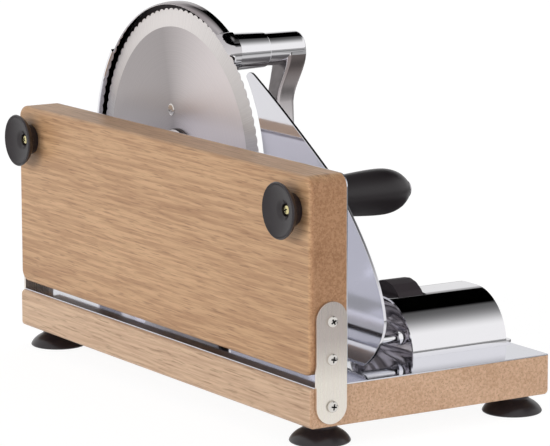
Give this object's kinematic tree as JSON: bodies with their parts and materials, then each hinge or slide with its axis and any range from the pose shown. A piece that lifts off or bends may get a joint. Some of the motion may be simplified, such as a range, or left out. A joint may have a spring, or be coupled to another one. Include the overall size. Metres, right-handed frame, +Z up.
{
  "type": "bread slicer",
  "caption": "Hand crank bread slicer on a wooden base: serrated round blade in an arched guard, sliding fence with thumb wheel, and a bread table folded up in front.",
  "frame": {"origin": "on the surface that the base feet stand on, under the middle of the whole slicer as it stands with its bread table folded up", "axes": "+X along the base board from the blade to the fence end, +Y from the bread table to the crank handle, +Z up"},
  "size_m": [0.369, 0.2002, 0.2406],
  "materials": {
    "wood": "oiled light wood with fine dark pores, satin",
    "tray_steel": "polished stainless sheet",
    "fence_steel": "mirror polished stainless plate",
    "blade_steel": "satin turned stainless with a ground bevel",
    "plate_steel": "satin brushed",
    "chrome": "bright chrome plate",
    "screw_steel": "bright plated steel",
    "gear_steel": "plain machined steel",
    "bronze": "plain sintered bronze",
    "rubber": "matte black rubber",
    "black_plastic": "matte black",
    "nylon": "white moulded nylon"
  },
  "bodies": {
    "base": {"base_board": "wood", "base_sheet": "tray_steel", "base_foot_front_left": "rubber", "base_foot_front_right": "rubber", "base_foot_rear_left": "rubber", "base_foot_rear_right": "rubber", "base_foot_screw_1": "screw_steel", "base_foot_screw_2": "screw_steel", "base_foot_screw_3": "screw_steel", "base_foot_screw_4": "screw_steel", "hinge_pivot_screw_1": "screw_steel", "hinge_pivot_screw_2": "screw_steel", "housing": "chrome", "housing_screw_1": "screw_steel", "housing_screw_2": "screw_steel", "housing_screw_3": "screw_steel", "gear_cover": "chrome", "gear_cover_screw_1": "screw_steel", "gear_cover_screw_2": "screw_steel", "gear_cover_screw_3": "screw_steel", "crank_bush": "bronze", "blade_axle": "gear_steel", "idler_pin": "gear_steel", "adjuster_frame": "gear_steel", "guide_bush_1": "chrome", "guide_bush_2": "chrome", "adjuster_hood": "chrome", "hood_screw_1": "screw_steel", "hood_screw_2": "screw_steel"},
    "feed_table": {"feed_board": "wood", "feed_sheet": "tray_steel", "hinge_plate_left": "plate_steel", "hinge_plate_right": "plate_steel", "hinge_plate_screw_1": "screw_steel", "hinge_plate_screw_2": "screw_steel", "hinge_plate_screw_3": "screw_steel", "hinge_plate_screw_4": "screw_steel", "feed_foot_left": "rubber", "feed_foot_right": "rubber", "feed_foot_screw_1": "screw_steel", "feed_foot_screw_2": "screw_steel"},
    "blade": {"blade": "blade_steel", "blade_carrier": "gear_steel", "blade_hub_cap": "blade_steel", "blade_gear": "nylon"},
    "idler": {"idler_gear": "nylon"},
    "crank": {"crank_pinion": "gear_steel", "crank_shaft": "gear_steel", "crank_arm": "chrome", "handle_pin": "screw_steel"},
    "handle": {"handle_grip": "black_plastic", "handle_end_cap": "chrome"},
    "fence": {"fence_plate": "fence_steel", "fence_carriage": "gear_steel", "fence_stud_1": "screw_steel", "fence_stud_2": "screw_steel", "guide_rod_left": "chrome", "guide_rod_right": "chrome", "adjuster_spindle": "gear_steel"},
    "thumbwheel": {"thumb_wheel": "black_plastic"}
  },
  "joints": [
    {"name": "table_fold", "type": "hinge", "parent": "base", "child": "feed_table", "pos_m": [0, -0.0747, 0.0254], "axis": [1, 0, 0], "range_deg": [0, 90]},
    {"name": "blade_spin", "type": "hinge", "parent": "base", "child": "blade", "pos_m": [-0.0548, -0.0389, 0.1383], "axis": [0, 1, 0], "continuous": true},
    {"name": "idler_spin", "type": "hinge", "parent": "base", "child": "idler", "pos_m": [-0.03066, -0.0337, 0.19175], "axis": [0, 1, 0], "continuous": true},
    {"name": "crank_turn", "type": "hinge", "parent": "base", "child": "crank", "pos_m": [0.00002, 0, 0.21348], "axis": [0, 1, 0], "continuous": true},
    {"name": "handle_spin", "type": "hinge", "parent": "crank", "child": "handle", "pos_m": [0.00759, 0.0101, 0.11517], "axis": [0, 1, 0], "continuous": true},
    {"name": "fence_slide", "type": "slide", "parent": "base", "child": "fence", "axis": [0, 1, 0], "range_m": [-0.001, 0.017]},
    {"name": "thumbwheel_turn", "type": "hinge", "parent": "base", "child": "thumbwheel", "pos_m": [0.102, 0.0168, 0.0587], "axis": [0, 1, 0], "range_deg": [-21, 341]}
  ],
  "couplings": [
    {"joint": "crank_turn", "follows": "blade_spin", "ratio": 3.8},
    {"joint": "idler_spin", "follows": "blade_spin", "ratio": -0.95},
    {"joint": "thumbwheel_turn", "follows": "fence_slide", "rad_per_m": 349.07}
  ]
}
